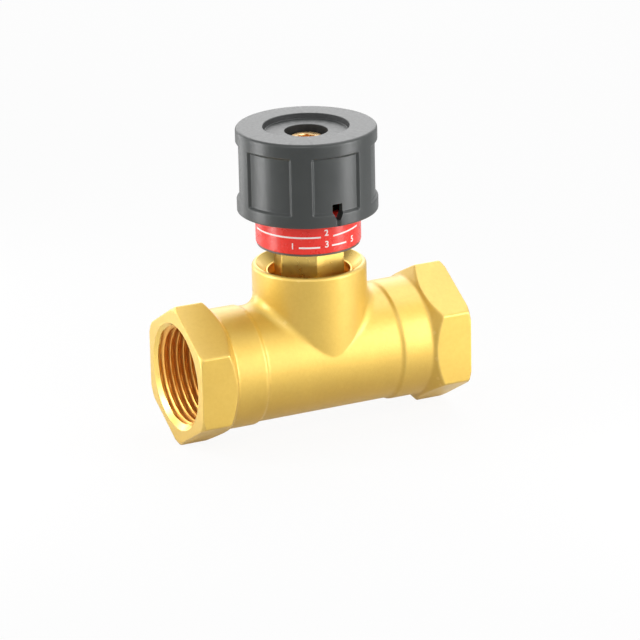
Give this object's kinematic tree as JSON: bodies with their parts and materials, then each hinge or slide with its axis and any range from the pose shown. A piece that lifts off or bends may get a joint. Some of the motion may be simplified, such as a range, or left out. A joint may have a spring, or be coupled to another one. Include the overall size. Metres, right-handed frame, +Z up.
{
  "type": "differential pressure control valve",
  "caption": "Brass pipe valve with a hexagon at each end, a threaded neck and bonnet, a red scale ring and a grey hand knob that sets a spring-loaded plug.",
  "frame": {"origin": "centre of the inlet end face, on the pipe axis", "axes": "+X runs along the pipe from the inlet to the outlet, +Z runs up along the neck, spindle and knob axis, and the scale window faces -Y"},
  "size_m": [0.075, 0.0354, 0.0782],
  "materials": {
    "cast_brass": "satin, fine grain of a blasted forging",
    "turned_brass": "turned and polished",
    "screw_brass": "turned",
    "knob_plastic": "satin with a fine moulded texture",
    "scale_plastic": "smooth, with printed pale marks",
    "ring_plastic": "matt",
    "seal_rubber": "matt",
    "backup_plastic": "matt",
    "stainless": "bright drawn"
  },
  "bodies": {
    "valve": {"valve_body": "cast_brass", "bonnet": "turned_brass", "bonnet_seal": "seal_rubber", "spindle_seal_lower": "seal_rubber", "spindle_seal_upper": "seal_rubber", "spindle_backup_ring": "backup_plastic", "scale_base_ring": "ring_plastic", "scale_ring": "scale_plastic", "scale_ring_clip": "stainless"},
    "carrier": {"spring_carrier": "turned_brass", "thrust_washer": "stainless", "spring": "stainless"},
    "knob_assembly": {"spindle": "turned_brass", "knob": "knob_plastic", "knob_washer": "stainless", "knob_screw": "screw_brass"},
    "plug_assembly": {"valve_plug": "turned_brass", "seat_disc": "seal_rubber", "disc_washer": "stainless", "disc_screw": "stainless"}
  },
  "joints": [
    {"name": "carrier_slide", "type": "slide", "parent": "valve", "child": "carrier", "axis": [0, 0, 1], "range_m": [-0.0075, 0.00125], "deforming": ["spring"]},
    {"name": "knob_turn", "type": "hinge", "parent": "carrier", "child": "knob_assembly", "pos_m": [0.0375, 0, 0.04], "axis": [0, 0, 1], "range_deg": [-1080, 180]},
    {"name": "plug_lift", "type": "slide", "parent": "valve", "child": "plug_assembly", "axis": [0, 0, 1], "range_m": [0, 0.003], "stiffness_N_per_m": 800, "springref_m": -0.0008}
  ],
  "couplings": [
    {"joint": "carrier_slide", "follows": "knob_turn", "m_per_rad": 0.00039788}
  ]
}
